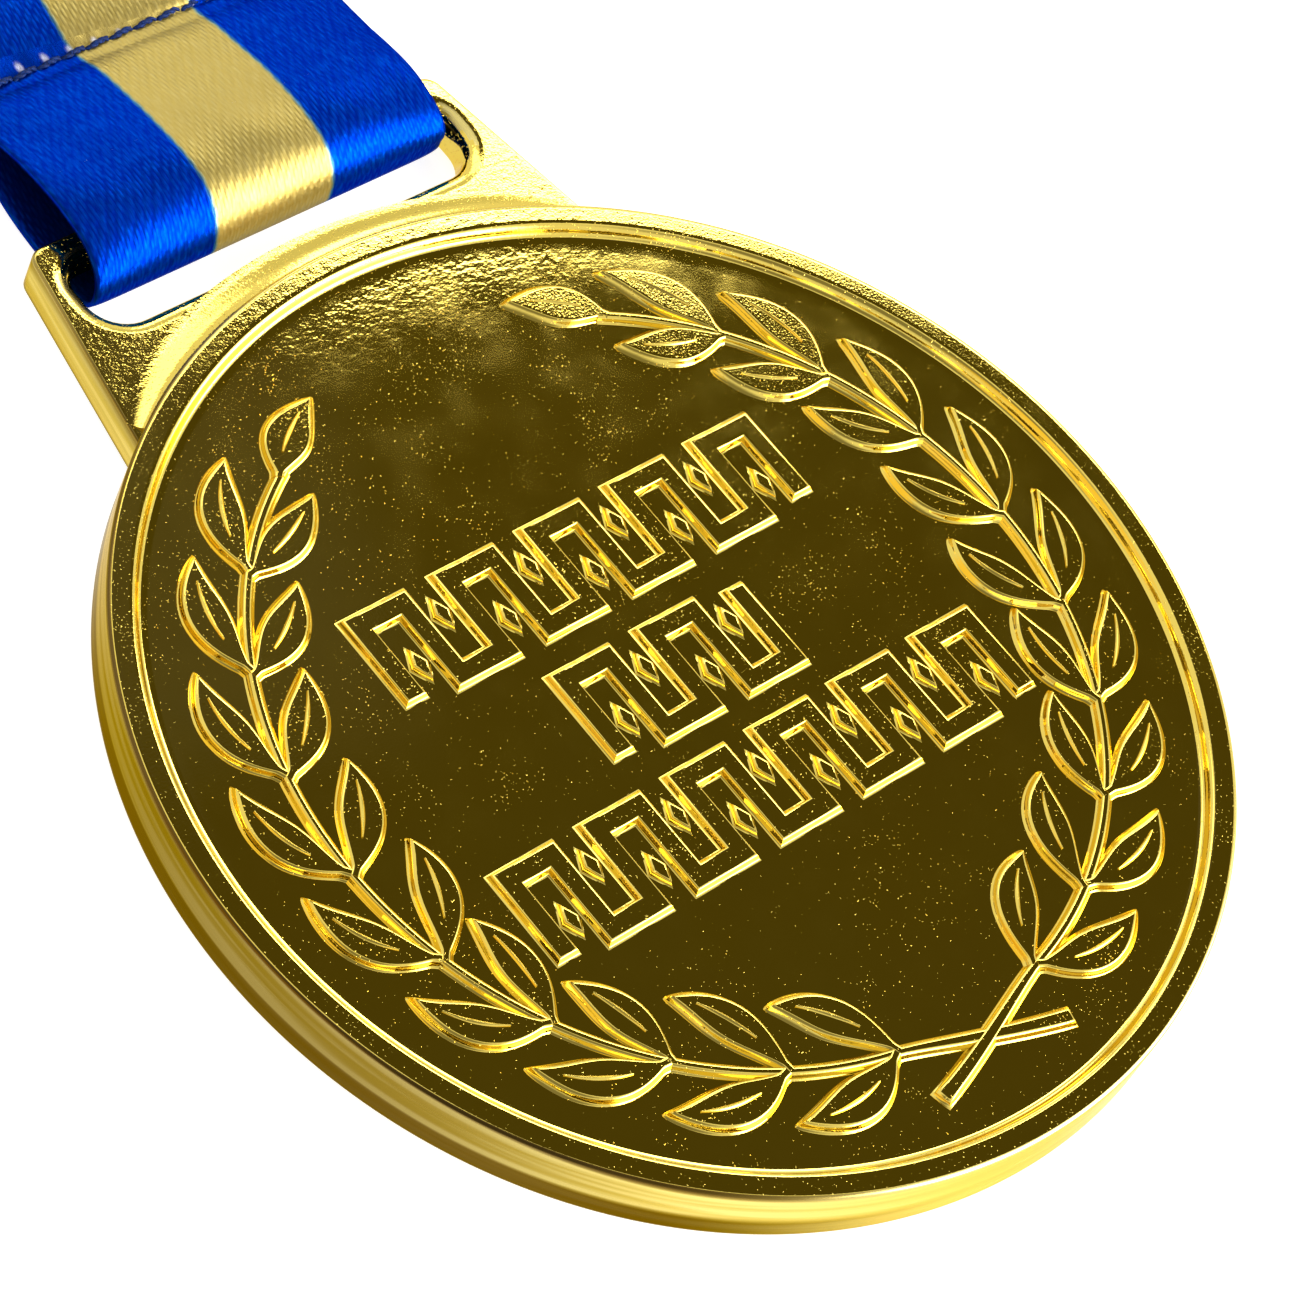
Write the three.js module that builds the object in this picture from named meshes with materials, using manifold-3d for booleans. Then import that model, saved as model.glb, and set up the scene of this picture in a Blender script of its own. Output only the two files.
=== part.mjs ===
// A cast, gold-plated award medal lying face up, with its neck ribbon threaded through the hanger.
// Units are millimetres, +Z is up and +Y runs from the disc towards the ribbon. The origin is the
// centre of the disc's flat back, which rests on the surface z = 0.

import * as THREE from 'three';
import { mergeVertices } from 'three/addons/utils/BufferGeometryUtils.js';
import Module from 'manifold-3d';

const wasm = await Module();
wasm.setup();

// ---- Driving dimensions ----------------------------------------------------------------------

const disc = {
  radius: 31.5,
  thickness: 4.0,
  edgeRound: 0.3,
  rimWidth: 1.3,        // flat band of the rim, measured in from the outer edge
  bevelWidth: 0.65,     // sloping inner side of the rim
  coveWidth: 0.9,       // hollow between the bevel and the flat field
  recess: 0.7,          // depth of the field below the rim
  facets: 96,
};

const hanger = {
  halfWidthTop: 14.5,   // at the top edge
  halfWidthRoot: 16.9,  // where the sides run into the disc
  rootY: 26.0,
  topY: 39.75,
  cornerRadius: 1.1,
  thickness: 2.5,
  slotHalfWidth: 13.4,
  slotBottomY: 33.4,
  slotTopY: 38.0,
  slotBottomRadius: 2.3,
  slotTopRadius: 1.5,
  barRelief: 1.0,       // how far the back of the bar is cut up, so that the ribbon passes under it
};

const wreath = {
  leafPairs: 9,
  firstTipAngle: 27.8,  // degrees round from the foot of the disc
  pitchAngle: 15.2,
  leafSweep: 14.5,      // a leaf's base lies this many degrees behind its tip
  spineRadius: 24.0,
  outerTipRadius: 27.3,
  innerTipRadius: 20.7,
  leafWidth: 2.5,
  stemWidth: 0.8,
  stemEndRadius: 26.9,
  stemEndAngle: 10.3,
  relief: 0.5,
};

const fret = {
  rows: [               // middle height, overall width and number of bays of each band
    { y: 8.7, width: 29.9, bays: 9 },
    { y: 0.55, width: 14.1, bays: 4 },
    { y: -7.45, width: 35.6, bays: 11 },
  ],
  height: 6.6,
  stroke: 1.25,
  stud: 0.6,            // half the diagonal of the lozenge stud in each bay
  studOffset: 1.0,      // how far a stud lies from the band's middle, towards its bay's mouth
  relief: 0.5,
};

const ribbon = {
  width: 25,
  thickness: 0.45,
  seamTop: 3.125,
  seamBottom: 2.25,
  seamY: 49.25,
  loopEndY: 49.75,
  armStartY: 51.3,
  armTurn: 6,           // degrees that each arm of the neck ribbon turns away from the middle
};

const hank = {
  startY: 64,
  length: 68,
  height: 9,
  endRadius: 3.5,
  waist: 0.7,           // how far the tie draws the folds in
};

const tie = { width: 11, thickness: 0.35, gap: 0.35 };

const thread = { length: 24, width: 0.375, height: 0.25 };

// ---- Materials -------------------------------------------------------------------------------

const gold = new THREE.MeshStandardMaterial({ color: 0xc9a53a, roughness: 0.2, metalness: 1 });
const satin = new THREE.MeshStandardMaterial({ color: 0x0a3fc4, roughness: 0.6, metalness: 0 });
const navy = new THREE.MeshStandardMaterial({ color: 0x0a1a66, roughness: 0.7, metalness: 0 });
const paper = new THREE.MeshStandardMaterial({ color: 0xf2efe6, roughness: 0.9, metalness: 0 });

// ---- Solid helpers ---------------------------------------------------------------------------

// A closed solid from a geometry: shared corners are merged and collapsed triangles dropped.
function toSolid(geometry) {
  const bare = geometry.clone();
  bare.deleteAttribute('normal');
  bare.deleteAttribute('uv');
  const merged = mergeVertices(bare, 1e-4);
  const kept = [];
  const index = merged.index.array;
  for (let i = 0; i < index.length; i += 3) {
    const [a, b, c] = [index[i], index[i + 1], index[i + 2]];
    if (a !== b && b !== c && c !== a) kept.push(a, b, c);
  }
  return new wasm.Manifold(new wasm.Mesh({
    numProp: 3,
    vertProperties: new Float32Array(merged.attributes.position.array),
    triVerts: new Uint32Array(kept),
  }));
}

function toGeometry(solid) {
  const mesh = solid.getMesh();
  const geometry = new THREE.BufferGeometry();
  geometry.setAttribute('position', new THREE.BufferAttribute(mesh.vertProperties, 3));
  geometry.setIndex(new THREE.BufferAttribute(mesh.triVerts, 1));
  geometry.computeVertexNormals();
  return geometry;
}

// A shape in the XY plane made solid from z = low to z = high.
function slab(shape, low, high, curveSegments = 8) {
  const geometry = new THREE.ExtrudeGeometry(shape, { depth: high - low, bevelEnabled: false, curveSegments });
  return geometry.translate(0, 0, low);
}

// A side profile, whose x is the row's Y and whose y is its Z, made solid across X.
function sideProfile(shape, width) {
  const geometry = new THREE.ExtrudeGeometry(shape, { depth: width, bevelEnabled: false });
  const toFrame = new THREE.Matrix4().makeBasis(
    new THREE.Vector3(0, 1, 0),
    new THREE.Vector3(0, 0, 1),
    new THREE.Vector3(1, 0, 0),
  );
  return geometry.translate(0, 0, -width / 2).applyMatrix4(toFrame);
}

function box(width, length, height) {
  return new THREE.BoxGeometry(width, length, height);
}

// The outline of a line drawn with the given width, with mitred corners.
function strokeShape(points, width) {
  const sides = [[], []];
  points.forEach((point, i) => {
    const before = points[Math.max(i - 1, 0)];
    const after = points[Math.min(i + 1, points.length - 1)];
    const into = new THREE.Vector2().subVectors(i ? point : after, i ? before : point).normalize();
    const out = new THREE.Vector2().subVectors(i < points.length - 1 ? after : point,
      i < points.length - 1 ? point : before).normalize();
    const mitre = new THREE.Vector2(-into.y - out.y, into.x + out.x).normalize();
    const reach = width / 2 / mitre.dot(new THREE.Vector2(-into.y, into.x));
    sides[0].push(point.clone().addScaledVector(mitre, reach));
    sides[1].unshift(point.clone().addScaledVector(mitre, -reach));
  });
  return new THREE.Shape([...sides[0], ...sides[1]]);
}

// A closed outline with rounded corners; each corner is [x, y, radius].
function roundedShape(corners) {
  const shape = new THREE.Shape();
  corners.forEach(([x, y, radius], i) => {
    const corner = new THREE.Vector2(x, y);
    const last = corners[(i + corners.length - 1) % corners.length];
    const next = corners[(i + 1) % corners.length];
    const towards = ([tx, ty]) => new THREE.Vector2(tx, ty).sub(corner).normalize();
    const [u, v] = [towards(last), towards(next)];
    const run = radius / Math.tan(Math.acos(u.dot(v)) / 2);
    const from = corner.clone().addScaledVector(u, run);
    const to = corner.clone().addScaledVector(v, run);
    if (i) shape.lineTo(from.x, from.y);
    else shape.moveTo(from.x, from.y);
    if (radius > 0) shape.quadraticCurveTo(x, y, to.x, to.y);
  });
  shape.closePath();
  return shape;
}

// ---- The casting -----------------------------------------------------------------------------

const fieldZ = disc.thickness - disc.recess;
const reliefRoot = 0.2;  // how far raised work is sunk into the field, so that the joint is solid

// A point of the disc's face, given as a radius and an angle round from the foot of the disc.
function facePoint(radius, degrees, side) {
  const angle = THREE.MathUtils.degToRad(degrees);
  return new THREE.Vector2(side * radius * Math.sin(angle), -radius * Math.cos(angle));
}

function discSolid() {
  const { radius, thickness, edgeRound, rimWidth, bevelWidth, coveWidth } = disc;
  const bevelRadius = radius - rimWidth - bevelWidth;
  const profile = [
    [0, 0],
    [radius - edgeRound, 0],
    [radius, edgeRound],
    [radius, thickness - edgeRound],
    [radius - edgeRound, thickness],
    [radius - rimWidth, thickness],
    [bevelRadius, fieldZ + 0.25],
    [bevelRadius - coveWidth / 3, fieldZ + 0.08],
    [bevelRadius - coveWidth, fieldZ],
    [0, fieldZ],
  ].map(([r, z]) => new THREE.Vector2(r, z));
  const geometry = new THREE.LatheGeometry(profile, disc.facets);
  return toSolid(geometry.rotateX(Math.PI / 2));
}

function hangerSolid() {
  const { halfWidthTop, halfWidthRoot, rootY, topY, cornerRadius } = hanger;
  const plate = roundedShape([
    [-halfWidthRoot, rootY, 0],
    [halfWidthRoot, rootY, 0],
    [halfWidthTop, topY, cornerRadius],
    [-halfWidthTop, topY, cornerRadius],
  ]);
  const { slotHalfWidth, slotBottomY, slotTopY, slotBottomRadius, slotTopRadius } = hanger;
  const slot = roundedShape([
    [-slotHalfWidth, slotBottomY, slotBottomRadius],
    [slotHalfWidth, slotBottomY, slotBottomRadius],
    [slotHalfWidth, slotTopY, slotTopRadius],
    [-slotHalfWidth, slotTopY, slotTopRadius],
  ]);
  const relief = box(2 * slotHalfWidth, topY - slotTopY + 3, 2 * hanger.barRelief);
  relief.translate(0, slotTopY - 1 + (topY - slotTopY + 3) / 2, 0);
  return toSolid(slab(plate, 0, hanger.thickness))
    .subtract(toSolid(slab(slot, -1, hanger.thickness + 1)))
    .subtract(toSolid(relief));
}

// A pointed leaf from its base to its tip.
function leafShape(base, tip) {
  const along = new THREE.Vector2().subVectors(tip, base);
  const across = new THREE.Vector2(-along.y, along.x).normalize().multiplyScalar(wreath.leafWidth);
  const bulge = base.clone().addScaledVector(along, 0.55);
  const shape = new THREE.Shape();
  shape.moveTo(base.x, base.y);
  shape.quadraticCurveTo(bulge.x + across.x, bulge.y + across.y, tip.x, tip.y);
  shape.quadraticCurveTo(bulge.x - across.x, bulge.y - across.y, base.x, base.y);
  return shape;
}

function raised(shape, relief, curveSegments) {
  return toSolid(slab(shape, fieldZ - reliefRoot, fieldZ + relief, curveSegments));
}

// One laurel branch: its stem, pairs of leaves and the leaf at its tip. side is -1 or 1.
function branchSolids(side) {
  const { leafPairs, firstTipAngle, pitchAngle, leafSweep, spineRadius, relief } = wreath;
  const lastBase = firstTipAngle + leafPairs * pitchAngle - leafSweep;
  const stem = [facePoint(wreath.stemEndRadius, -wreath.stemEndAngle, side), facePoint(25.1, 0, side)];
  for (let angle = firstTipAngle - leafSweep; angle < lastBase + 1; angle += pitchAngle) {
    stem.push(facePoint(spineRadius, angle, side));
  }
  const solids = [raised(strokeShape(stem, wreath.stemWidth), relief, 1)];
  for (let pair = 0; pair < leafPairs; pair += 1) {
    const tipAngle = firstTipAngle + pair * pitchAngle;
    const base = facePoint(spineRadius, tipAngle - leafSweep, side);
    for (const tipRadius of [wreath.outerTipRadius, wreath.innerTipRadius]) {
      solids.push(raised(leafShape(base, facePoint(tipRadius, tipAngle, side)), relief, 3));
    }
  }
  const tip = facePoint(spineRadius + 1.1, lastBase + leafSweep - 2, side);
  solids.push(raised(leafShape(facePoint(spineRadius, lastBase, side), tip), relief, 3));
  return solids;
}

// One band of square fret: a single line that runs up and down, with a stud in each of its bays.
function fretSolids({ y, width, bays }) {
  const pitch = (width - fret.stroke) / bays;
  const reach = (fret.height - fret.stroke) / 2;
  const left = -(width - fret.stroke) / 2;
  const points = [];
  const solids = [];
  for (let bar = 0; bar <= bays; bar += 1) {
    const x = left + bar * pitch;
    const rise = bar % 2 ? -reach : reach;
    points.push(new THREE.Vector2(x, y - rise), new THREE.Vector2(x, y + rise));
    if (bar < bays) {
      const studX = x + pitch / 2;
      const studY = y - Math.sign(rise) * fret.studOffset;
      const corner = (dx, dy) => new THREE.Vector2(studX + dx * fret.stud, studY + dy * fret.stud);
      const lozenge = new THREE.Shape([corner(-1, 0), corner(0, -2), corner(1, 0), corner(0, 2)]);
      solids.push(raised(lozenge, fret.relief, 1));
    }
  }
  return [raised(strokeShape(points, fret.stroke), fret.relief, 1), ...solids];
}

function castingGeometry() {
  const reliefs = [...branchSolids(-1), ...branchSolids(1), ...fret.rows.flatMap(fretSolids)];
  return toGeometry(reliefs.reduce((whole, piece) => whole.add(piece), discSolid().add(hangerSolid())));
}

// ---- The ribbon ------------------------------------------------------------------------------

// The loop through the slot, seen from the side: round the hanger's bar and closed by the seam.
function loopShape() {
  const { thickness, seamTop, seamBottom, seamY, loopEndY } = ribbon;
  const outerRun = [
    [seamY - 1.6, 3.55], [45.4, 4.12], [42.8, 4.58], [40.3, 4.75], [38.1, 4.35], [36.8, 3.2],
    [36.2, 1.4], [36.6, 0.3], [37.6, 0], [41.4, 0.05], [44.4, 0.6], [seamY - 1.6, 1.75],
  ].map(([y, z]) => new THREE.Vector2(y, z));
  const smooth = new THREE.SplineCurve(outerRun).getPoints(36);
  const outline = new THREE.Shape([
    new THREE.Vector2(loopEndY, seamTop),
    new THREE.Vector2(seamY - 0.5, seamTop),
    ...smooth,
    new THREE.Vector2(seamY - 0.5, seamBottom),
    new THREE.Vector2(loopEndY, seamBottom),
  ]);
  const inner = strokeOffset(smooth, thickness);
  outline.holes.push(new THREE.Path(inner));
  return outline;
}

// The points of a run moved sideways, to its left, by the given distance.
function strokeOffset(points, distance) {
  return points.map((point, i) => {
    const before = points[Math.max(i - 1, 0)];
    const after = points[Math.min(i + 1, points.length - 1)];
    const along = new THREE.Vector2().subVectors(after, before).normalize();
    return new THREE.Vector2(point.x - along.y * distance, point.y + along.x * distance);
  });
}

// One arm of the neck ribbon, from just beyond the seam down to the hank. level is its underside.
function armGeometry(level, landing, turn) {
  const { thickness, armStartY } = ribbon;
  const endY = hank.startY - 0.5;
  const underside = new THREE.CubicBezierCurve(
    new THREE.Vector2(armStartY, level),
    new THREE.Vector2(armStartY + 5, level),
    new THREE.Vector2(endY - 6, landing),
    new THREE.Vector2(endY, landing),
  ).getPoints(8);
  const topside = underside.map((point) => new THREE.Vector2(point.x, point.y + thickness)).reverse();
  const geometry = sideProfile(new THREE.Shape([...underside, ...topside]), ribbon.width);
  geometry.translate(0, -armStartY, 0).rotateZ(THREE.MathUtils.degToRad(turn));
  return geometry.translate(0, armStartY + 0.8, 0);
}

// The rest of the neck ribbon, folded to and fro into a flat bundle that the tie draws in.
function hankGeometry() {
  const { startY, length, height, endRadius, waist } = hank;
  const bundle = toSolid(sideProfile(roundedShape([
    [startY + 2, 0, endRadius],
    [startY + 2 + length, 0, endRadius],
    [startY + 2 + length, height, endRadius],
    [startY + 2, height, endRadius],
  ]), ribbon.width));
  const grooveWidth = tie.width + 2 * tie.gap;
  const cutter = toSolid(box(ribbon.width + 2, grooveWidth, height + 2).translate(0, tieY(), height / 2));
  const core = toSolid(box(ribbon.width - 2 * waist, grooveWidth + 2, height - 2 * waist)
    .translate(0, tieY(), height / 2));
  return toGeometry(bundle.subtract(cutter.subtract(core)));
}

function tieY() {
  return hank.startY + 2 + hank.length / 2;
}

// ---- Tie and seam threads --------------------------------------------------------------------

function tieGeometry() {
  const inner = hank.waist - tie.gap;
  const outer = inner - tie.thickness;
  const ring = (inset, length) => toSolid(box(
    ribbon.width - 2 * inset, length, hank.height - 2 * inset,
  ).translate(0, tieY(), hank.height / 2));
  return toGeometry(ring(outer, tie.width).subtract(ring(inner, tie.width + 2)));
}

function threadGeometry(lowZ) {
  return box(thread.length, thread.width, thread.height).translate(0, ribbon.seamY, lowZ + thread.height / 2);
}

// ---- Assembly --------------------------------------------------------------------------------

const medal = new THREE.Group();

function addPiece(name, geometry, material) {
  const mesh = new THREE.Mesh(geometry, material);
  mesh.name = name;
  medal.add(mesh);
}

addPiece('medal_casting', castingGeometry(), gold);
addPiece('ribbon_loop', sideProfile(loopShape(), ribbon.width), satin);
addPiece('neck_ribbon_front_arm', armGeometry(2.95, 3.8, -ribbon.armTurn), satin);
addPiece('neck_ribbon_back_arm', armGeometry(2.1, 2.1, ribbon.armTurn), satin);
addPiece('neck_ribbon_hank', hankGeometry(), satin);
addPiece('ribbon_tie', tieGeometry(), paper);
addPiece('seam_needle_thread', threadGeometry(ribbon.seamTop), navy);
addPiece('seam_bobbin_thread', threadGeometry(ribbon.seamBottom - thread.height), navy);

export default medal;
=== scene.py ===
"""Looks for the neck ribbon award medal: a gold-plated casting lying face up, with its striped
satin ribbon threaded through the hanger. All lengths below are millimetres in the row's frame,
and MM turns them into Blender's metres."""

import math
import random

import bmesh
import bpy
import numpy as np
from mathutils import Matrix, Vector


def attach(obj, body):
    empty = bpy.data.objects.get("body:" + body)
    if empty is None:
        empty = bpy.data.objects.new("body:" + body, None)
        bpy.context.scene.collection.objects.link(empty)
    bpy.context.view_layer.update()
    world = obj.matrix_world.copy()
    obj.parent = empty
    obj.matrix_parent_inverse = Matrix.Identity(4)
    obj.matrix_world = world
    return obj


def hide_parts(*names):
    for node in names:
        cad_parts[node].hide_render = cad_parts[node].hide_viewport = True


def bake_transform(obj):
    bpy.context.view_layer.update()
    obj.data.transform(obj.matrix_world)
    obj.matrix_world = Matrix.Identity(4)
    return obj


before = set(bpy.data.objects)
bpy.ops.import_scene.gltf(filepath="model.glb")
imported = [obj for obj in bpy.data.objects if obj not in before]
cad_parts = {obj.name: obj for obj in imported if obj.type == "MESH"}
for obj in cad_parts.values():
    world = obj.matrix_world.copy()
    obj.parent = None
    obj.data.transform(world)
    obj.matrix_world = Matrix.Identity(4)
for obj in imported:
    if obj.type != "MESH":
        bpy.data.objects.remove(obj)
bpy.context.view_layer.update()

MM = 0.001
dice = random.Random(7)

# ---- Driving dimensions, as in the CAD -------------------------------------------------------

DISC_R = 31.5
RIM_Z = 4.0
FIELD_Z = 3.3
PLATE_Z = 2.5            # front of the hanger plate
RELIEF = 0.42            # height of the raised work above the field, under its soft edge
BEVEL = 0.22             # how far a raised wall runs out as it comes down

PLATE_ROOT = (16.9, 26.0)
PLATE_TOP = (14.5, 39.75)
PLATE_CORNER = 1.1
SLOT = (13.4, 33.4, 38.0)   # half width, lower edge, upper edge
SLOT_LOW_R = 2.3
SLOT_HIGH_R = 1.5
BAR_RELIEF = 1.0

LEAF_PAIRS = 9
FIRST_TIP = 27.8         # degrees round from the foot of the disc
PITCH = 15.2
SWEEP = 14.5
SPINE_R = 24.0
OUTER_TIP_R = 27.0
INNER_TIP_R = (20.2, 20.2, 21.3, 21.0, 20.0, 20.5, 21.2, 21.4, 22.0)
LEAF_HALF = 1.0
TOP_LEAF_TURN = 13.3     # degrees that the single leaf at the top spans
TOP_LEAF_R = 25.2
STEM_FOOT = -10.2        # the stems cross and end this far past the foot of the disc

FRET_ROWS = ((8.7, 29.9, 9), (0.55, 14.1, 4), (-7.45, 35.6, 11))
FRET_HEIGHT = 6.6
FRET_STROKE = 1.55

RIBBON_W = 25.0
RIBBON_T = 0.42
SEAM_Y = 49.6
STITCH = 1.7
STITCHES = 14
FIRST_STITCH_X = -11.7
THREAD_R = 0.11
HANK_Y = (66.0, 134.0)
TIE_Y = 100.0
TIE_W = 11.0


# ---- Camera ----------------------------------------------------------------------------------

def make_camera():
    place = Vector((-155.2, -73.2, 214.2)) * MM
    target = Vector((-1.03, 2.12, 4.0)) * MM
    roll = math.radians(29.0)
    ahead = (target - place).normalized()
    level_right = ahead.cross(Vector((0, 0, 1))).normalized()
    level_up = level_right.cross(ahead)
    right = level_right * math.cos(roll) + level_up * math.sin(roll)
    up = level_up * math.cos(roll) - level_right * math.sin(roll)
    data = bpy.data.cameras.new("camera")
    data.sensor_width = 36
    data.lens = 141.6
    data.clip_start = 0.01
    camera = bpy.data.objects.new("camera", data)
    camera.matrix_world = Matrix((
        (right.x, up.x, -ahead.x, place.x),
        (right.y, up.y, -ahead.y, place.y),
        (right.z, up.z, -ahead.z, place.z),
        (0, 0, 0, 1),
    ))
    bpy.context.collection.objects.link(camera)
    bpy.context.scene.camera = camera


# ---- Node helpers ----------------------------------------------------------------------------

class Nodes:
    """Short calls for building a material's node tree."""

    def __init__(self, name):
        self.material = bpy.data.materials.new(name)
        self.material.use_nodes = True
        self.tree = self.material.node_tree
        self.tree.nodes.clear()
        self.out = self.new("ShaderNodeOutputMaterial")

    def new(self, kind, **settings):
        node = self.tree.nodes.new(kind)
        for key, value in settings.items():
            setattr(node, key, value)
        return node

    def put(self, socket, value):
        if isinstance(value, bpy.types.NodeSocket):
            self.tree.links.new(value, socket)
        else:
            socket.default_value = value

    def math(self, operation, *values):
        node = self.new("ShaderNodeMath", operation=operation)
        for socket, value in zip(node.inputs, values):
            self.put(socket, value)
        return node.outputs[0]

    def step(self, value, low, high, to_low=0.0, to_high=1.0):
        node = self.new("ShaderNodeMapRange", interpolation_type="SMOOTHSTEP")
        for name, given in (("Value", value), ("From Min", low), ("From Max", high),
                            ("To Min", to_low), ("To Max", to_high)):
            self.put(node.inputs[name], given)
        return node.outputs[0]

    def mix(self, factor, a, b):
        node = self.new("ShaderNodeMix", data_type="RGBA")
        self.put(node.inputs["Factor"], factor)
        self.put(node.inputs[6], a)
        self.put(node.inputs[7], b)
        return node.outputs[2]

    def place(self):
        return self.new("ShaderNodeTexCoord").outputs["Object"]

    def stretched(self, vector, scale, turn=(0, 0, 0)):
        node = self.new("ShaderNodeMapping")
        self.put(node.inputs["Vector"], vector)
        node.inputs["Scale"].default_value = scale
        node.inputs["Rotation"].default_value = turn
        return node.outputs[0]

    def noise(self, vector, scale, detail=2.0, rough=0.5):
        node = self.new("ShaderNodeTexNoise")
        self.put(node.inputs["Vector"], vector)
        node.inputs["Scale"].default_value = scale
        node.inputs["Detail"].default_value = detail
        node.inputs["Roughness"].default_value = rough
        return node.outputs["Fac"]

    def split(self, vector):
        node = self.new("ShaderNodeSeparateXYZ")
        self.put(node.inputs[0], vector)
        return node.outputs

    def join(self, x, y, z):
        node = self.new("ShaderNodeCombineXYZ")
        for socket, value in zip(node.inputs, (x, y, z)):
            self.put(socket, value)
        return node.outputs[0]

    def attribute(self, name):
        return self.new("ShaderNodeAttribute", attribute_name=name).outputs["Fac"]

    def bump(self, height, distance, strength=1.0, normal=None):
        node = self.new("ShaderNodeBump")
        node.inputs["Distance"].default_value = distance
        node.inputs["Strength"].default_value = strength
        self.put(node.inputs["Height"], height)
        if normal is not None:
            self.put(node.inputs["Normal"], normal)
        return node.outputs[0]

    def shade(self, **sockets):
        shader = self.new("ShaderNodeBsdfPrincipled")
        for name, value in sockets.items():
            self.put(shader.inputs[name.replace("_", " ")], value)
        self.put(self.out.inputs["Surface"], shader.outputs[0])
        return self.material


# ---- Materials -------------------------------------------------------------------------------

GOLD = (0.85, 0.67, 0.15, 1)
GOLD_WARM = (0.85, 0.62, 0.1, 1)


PLATE_TINT = (0.9, 0.8, 0.5, 1)
BRUSHED = (0.86, 0.71, 0.24, 1)
BRUSHED_DARK = (0.55, 0.41, 0.07, 1)
BRUSHED_TINT = (0.75, 0.6, 0.3, 1)
# painted shade: the brown that stands for dark surroundings reflected in the brushed edge
SHADE_BROWN = (0.1, 0.05, 0.006, 1)


def gold_plate(name, cast, sparkle):
    """Mirror gold. cast is how pebbled the whole surface is, and sparkle how thickly it is
    strewn with the tiny nibs of the plating, which gather in patches and towards the hanger.
    Near the hanger the field also swells in low waves."""
    n = Nodes(name)
    at = n.place()
    patches = n.noise(at, 210, 4.0, 0.65)
    towards_hanger = n.split(at)[1]
    density = n.math("ADD", n.step(patches, 0.42, 0.75, 0.0, 0.1),
                     n.step(towards_hanger, 0.006, 0.028, 0.0, 0.04))
    grit = n.math("ADD", n.noise(at, 9000, 0.0), density)
    nibs = n.step(grit, 0.86 - 0.08 * sparkle, 0.95 - 0.08 * sparkle)
    pebbles = n.noise(at, 7000, 1.5, 0.55)
    swell = n.noise(n.stretched(at, (1, 1.5, 1), (0, 0, 0.5)), 1700, 2.0, 0.6)
    swell_mask = n.step(towards_hanger, 0.020, 0.030, 0.0, 1.0)
    normal = n.bump(n.math("MULTIPLY", swell, swell_mask), 0.0000065)
    normal = n.bump(pebbles, 0.00002 * cast, 1.0, normal)
    normal = n.bump(nibs, 0.00003, 1.0, normal)
    colour = n.mix(n.noise(at, 95, 2.0), GOLD, GOLD_WARM)
    rough = n.step(n.noise(at, 330, 3.0, 0.6), 0.35, 0.7, 0.03, 0.06)
    return n.shade(Base_Color=colour, Metallic=1.0, Roughness=rough, Normal=normal,
                   Specular_Tint=PLATE_TINT)


def gold_brushed(name, edge_height, lip_share, foot_share):
    """The turned and brushed edge, edge_height metres tall: fine lines round it, a softer shine,
    and brown painted shade where the edge reflects dark surroundings. The painted shade lies in the top
    lip_share and the bottom foot_share of the height, both more so towards the left, and over the whole
    height at the far left."""
    n = Nodes(name)
    at = n.place()
    lines = n.noise(n.stretched(at, (0.03, 0.03, 1)), 4200, 3.0, 0.65)
    bands = n.noise(n.stretched(at, (0.03, 0.03, 1)), 1300, 2.0)
    normal = n.bump(lines, 0.000006)
    rightward = n.split(at)[0]
    leftward = n.step(rightward, -0.004, -0.022, 0.0, 1.0)
    # Brush streaks are the edge's own grain, painted darker towards the left as painted shade.
    streak_shade_share = n.math("ADD", n.math("MULTIPLY", leftward, 0.8), 0.2)
    streak_and_shade = n.math("MULTIPLY", n.step(bands, 0.4, 0.65), streak_shade_share)
    colour = n.mix(streak_and_shade, BRUSHED, BRUSHED_DARK)
    height = n.math("DIVIDE", n.split(at)[2], edge_height)
    height = n.math("ADD", height, n.math("MULTIPLY", bands, 0.06))
    # Painted shade: brown at the foot and the lip, heavier to the left, and over the whole height at the
    # far left.
    foot = n.math("MULTIPLY", n.step(height, foot_share + 0.14, foot_share), leftward)
    lip = n.math("MULTIPLY", n.step(height, 1.0 - lip_share, 1.0), n.math("MAXIMUM", leftward, 0.12))
    far_left = n.step(rightward, -0.019, -0.031, 0.0, 0.75)
    painted_shade = n.math("MAXIMUM", n.math("MAXIMUM", foot, lip), far_left)
    painted_shade = n.math("MULTIPLY", painted_shade, 0.94)
    colour = n.mix(painted_shade, colour, SHADE_BROWN)
    rough = n.step(lines, 0.3, 0.7, 0.16, 0.28)
    return n.shade(Base_Color=colour, Metallic=1.0, Roughness=rough, Normal=normal,
                   Specular_Tint=BRUSHED_TINT)


BLUE = (0.0, 0.014, 0.26, 1)
# the _LIT colours are painted highlight: the satin's sheen painted onto float crowns and glints
BLUE_LIT = (0.0, 0.07, 0.52, 1)
SAND = (0.36, 0.265, 0.06, 1)
SAND_LIT = (0.46, 0.38, 0.15, 1)
EDGE_GREEN = (0.05, 0.20, 0.22, 1)   # where the stripes' yarns cross
PUCKER_PALE = (0.72, 0.72, 0.86, 1)  # fibre pulled up at the needle holes
SATIN_TINT = (0.35, 0.4, 0.55, 1)
END_PITCH = 0.25                     # one warp yarn across
FLOAT_PITCH = 0.95                   # one float along


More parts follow.
